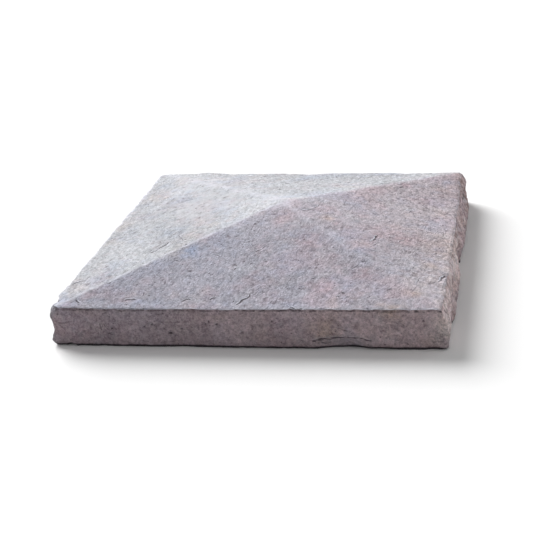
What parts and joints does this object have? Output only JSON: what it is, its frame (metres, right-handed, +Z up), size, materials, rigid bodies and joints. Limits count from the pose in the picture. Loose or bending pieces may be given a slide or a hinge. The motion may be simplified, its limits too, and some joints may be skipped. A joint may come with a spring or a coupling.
{
  "type": "peaked capstone",
  "caption": "Low square cast-stone cap with four shallow slopes rising to a worn peak, and a thick rim with rough, chisel-pitched sides, for the top of a masonry pier.",
  "frame": {"origin": "middle of the flat bed, on the surface that the cap rests on", "axes": "+Z up to the peak; -Y out of the side that faces the picture's lower edge, and +X out of the rough side at its right"},
  "size_m": [0.61, 0.6094, 0.113],
  "materials": {
    "cast_stone": "matte"
  },
  "bodies": {
    "root": {"capstone": "cast_stone"}
  },
  "joints": []
}
